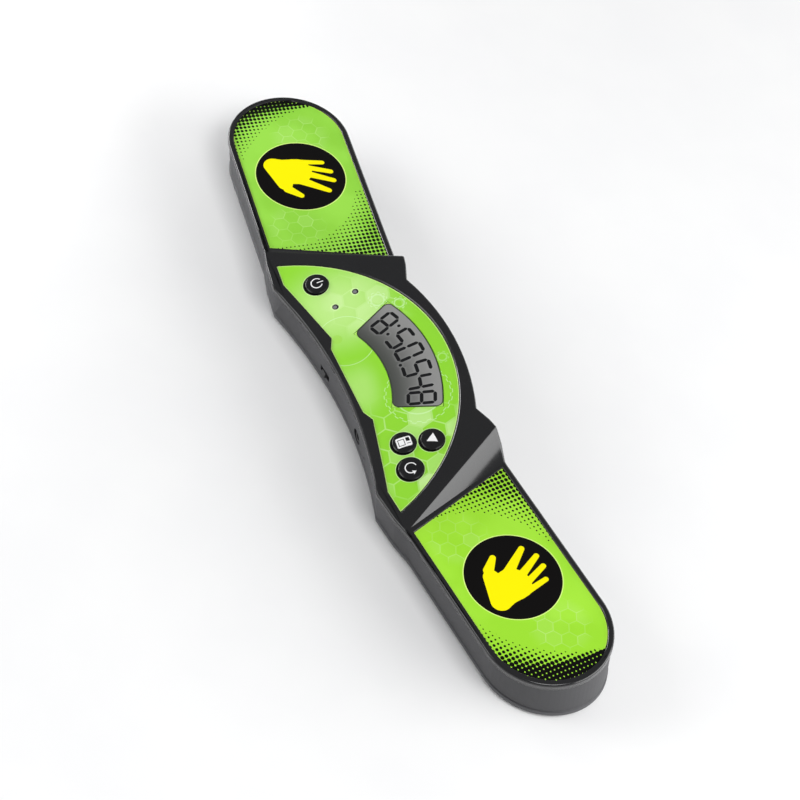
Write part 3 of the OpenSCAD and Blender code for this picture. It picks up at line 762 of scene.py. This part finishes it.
# painted shade at each pin's edge, painted light in its middle
middle = centre.rise(0.95, 0.55)
pipe.feed("Base Color", middle.tint((0.02, 0.02, 0.022), (0.20, 0.20, 0.21)))
pipe.feed("Roughness", 0.12 + pipe.noise(2.0) * 0.1)
pipe.on(nodes["light_pipes"])
resin = Finish("lamp_resin")
resin.feed("Base Color", resin.noise(2.0).tint((0.7, 0.7, 0.6), (0.8, 0.8, 0.7)))
resin.feed("Roughness", 0.25 + resin.noise(4.0) * 0.1)
resin.on(nodes["status_leds"])


# ---- boards and what is soldered to them ----
# Green glass-fibre boards, screwed below the panel and set behind the near
# wall. Chip, push switches, socket and the sound knob are black plastic.
mask = Finish("solder_mask", Coat_Weight=0.3)
net = {"Vector": mask.place, "Scale": 0.35}
traces = mask.place.node("TexVoronoi", {"feature": "DISTANCE_TO_EDGE"}, net)
lines = traces.rise(0.06, 0.03)
mask.feed("Base Color", lines.tint((0.012, 0.11, 0.04), (0.03, 0.20, 0.08)))
mask.feed("Roughness", 0.3 + mask.noise(3.0) * 0.1)
for node in ("main_board", "io_board"):
    mask.on(nodes[node])
matt = Finish("matt_black")
grain = matt.noise(5.0)
matt.feed("Base Color", grain.tint((0.018, 0.018, 0.019), (0.028, 0.028, 0.029)))
matt.feed("Roughness", 0.45 + grain * 0.15)
matt.bump(grain, 0.01)
for node in ("tact_switches", "control_chip", "data_jack", "switch_knob"):
    matt.on(nodes[node])


# ---- fasteners and metal parts ----
# Bright steel screws, driven from below, and the slide switch's pressed
# body; springs and plates of the battery bay in nickel-plated steel.
steel = Finish("bright_steel", Metallic=1.0)
turned = steel.noise(3.0, 3.0)
steel.feed("Base Color", turned.tint((0.50, 0.51, 0.53), (0.60, 0.61, 0.63)))
steel.feed("Roughness", 0.25 + turned * 0.15)
for node in ("board_screws", "slide_switch", "case_screws", "door_screw"):
    steel.on(nodes[node])
nickel = Finish("nickel_plate", Metallic=1.0)
plate = nickel.noise(2.0, 3.0)
nickel.feed("Base Color", plate.tint((0.58, 0.57, 0.53), (0.66, 0.65, 0.61)))
nickel.feed("Roughness", 0.18 + plate * 0.12)
nickel.on(nodes["battery_contacts"])


# ---- battery bay ----
# Two round cells in printed wrap, blue with a brass-coloured end, behind a
# door with grip grooves and one screw.
wrap = Finish("cell_wrap", Coat_Weight=0.5)
end = wrap.x.rise(-70.0, -71.0)
wrap.feed("Base Color", end.tint((0.03, 0.12, 0.30), (0.55, 0.42, 0.12)))
wrap.feed("Roughness", 0.25 + wrap.noise(1.0) * 0.1)
wrap.on(nodes["battery_cells"])
door = finer("battery_door", "battery_hatch", (0, 0.15), -1)
base.on(door)


# ---- speaker ----
# Flat speaker with a black paper cone, pressed onto a foam ring over the
# holes in the floor of the right arm.
cone = Finish("speaker_black")
weave = cone.noise(4.0, 3.0)
cone.feed("Base Color", weave.tint((0.02, 0.02, 0.021), (0.035, 0.035, 0.036)))
cone.feed("Roughness", 0.5 + weave * 0.2)
cone.on(nodes["speaker"])
foam = Finish("foam_black")
pores = foam.noise(8.0)
foam.feed("Base Color", pores.tint((0.012, 0.012, 0.012), (0.03, 0.03, 0.03)))
foam.feed("Roughness", 0.85 + pores * 0.1)
foam.bump(pores, 0.05)
foam.on(nodes["speaker_gasket"])


# ---- feet ----
# Six round feet of soft rubber with a matt face, stuck to the floor. Their
# lower edge is rounded all the way round.
feet = finer("rubber_feet", "soft_feet", (0.25, 0.25), -1)
rubber = Finish("foot_rubber")
skin = rubber.noise(4.0)
rubber.feed("Base Color", skin.tint((0.014, 0.014, 0.014), (0.022, 0.022, 0.022)))
rubber.feed("Roughness", 0.7 + skin * 0.15)
rubber.bump(skin, 0.02)
rubber.on(feet)


# ---- leads ----
# Two leads in red insulation, soldered between the board and the battery
# contacts and the speaker.
jacket = Finish("lead_red")
mottle = jacket.noise(1.5)
jacket.feed("Base Color", mottle.tint((0.40, 0.01, 0.01), (0.50, 0.015, 0.015)))
jacket.feed("Roughness", 0.4 + mottle * 0.1)
jacket.on(nodes["lead_wires"])
